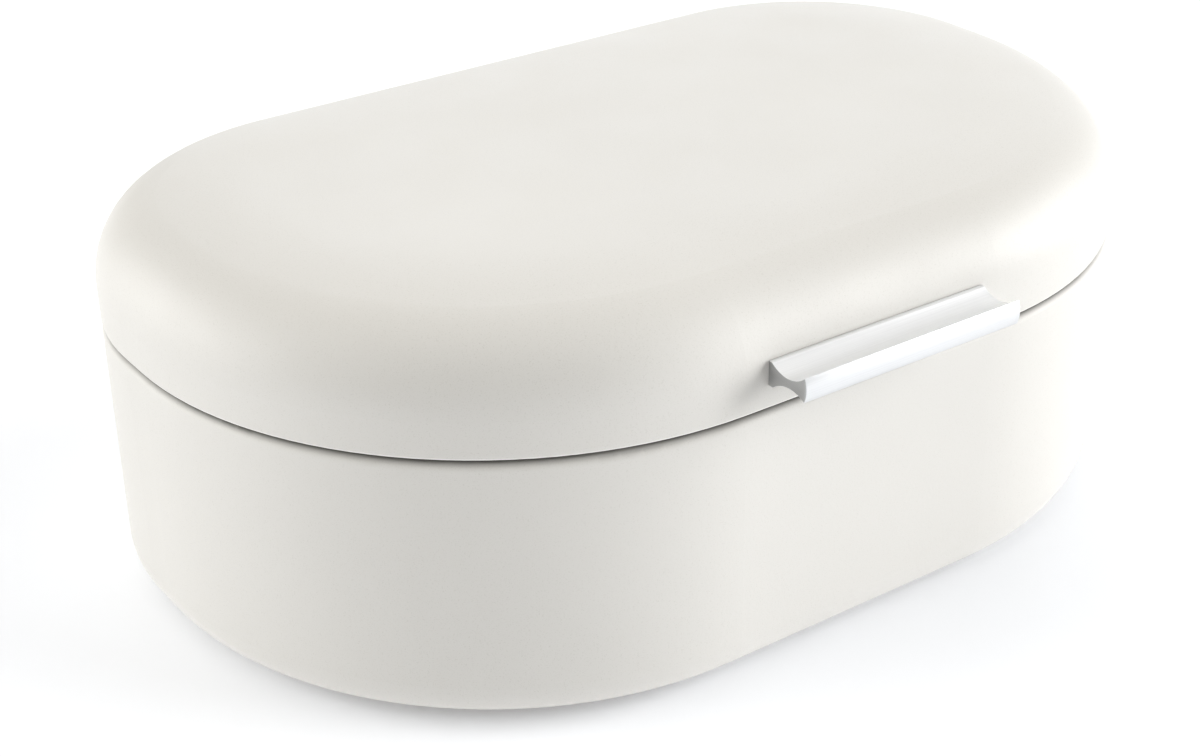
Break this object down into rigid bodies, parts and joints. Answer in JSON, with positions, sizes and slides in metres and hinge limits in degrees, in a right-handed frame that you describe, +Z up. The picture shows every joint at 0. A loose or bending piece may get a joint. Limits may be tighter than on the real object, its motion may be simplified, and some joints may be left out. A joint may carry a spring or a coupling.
{
  "type": "bread box",
  "caption": "Low steel bread box with a rounded D-shaped plan, a full-width domed lid hinged at the back and a straight aluminium grip on the lid's front edge.",
  "frame": {"origin": "on the worktop, under the middle of the whole box with its handle and hinges", "axes": "+X to the box's right as seen from its front, +Y from the handle to the hinges, +Z up"},
  "size_m": [0.346, 0.2442, 0.1304],
  "materials": {
    "shell_paint": "matt off-white powder coat",
    "grip_aluminium": "satin anodised",
    "hinge_steel": "satin",
    "fastener_steel": "zinc plated",
    "foot_rubber": "matt",
    "pad_rubber": "matt"
  },
  "bodies": {
    "base": {"base_shell": "shell_paint", "rim_collar": "shell_paint", "foot_front_left": "foot_rubber", "foot_front_right": "foot_rubber", "foot_rear_left": "foot_rubber", "foot_rear_right": "foot_rubber", "stop_pad_left": "pad_rubber", "stop_pad_right": "pad_rubber", "hinge_base_leaf_left": "hinge_steel", "hinge_base_leaf_right": "hinge_steel", "hinge_pin_left": "hinge_steel", "hinge_pin_right": "hinge_steel", "base_rivets_left": "fastener_steel", "base_rivets_right": "fastener_steel"},
    "lid": {"lid_shell": "shell_paint", "handle": "grip_aluminium", "handle_screw_left": "fastener_steel", "handle_screw_right": "fastener_steel", "handle_washer_left": "fastener_steel", "handle_washer_right": "fastener_steel", "hinge_lid_leaf_left": "hinge_steel", "hinge_lid_leaf_right": "hinge_steel", "lid_rivets_left": "fastener_steel", "lid_rivets_right": "fastener_steel"}
  },
  "joints": [
    {"name": "lid_hinge", "type": "hinge", "parent": "base", "child": "lid", "pos_m": [0, 0.1172, 0.09105], "axis": [-1, 0, 0], "range_deg": [0, 100]}
  ]
}
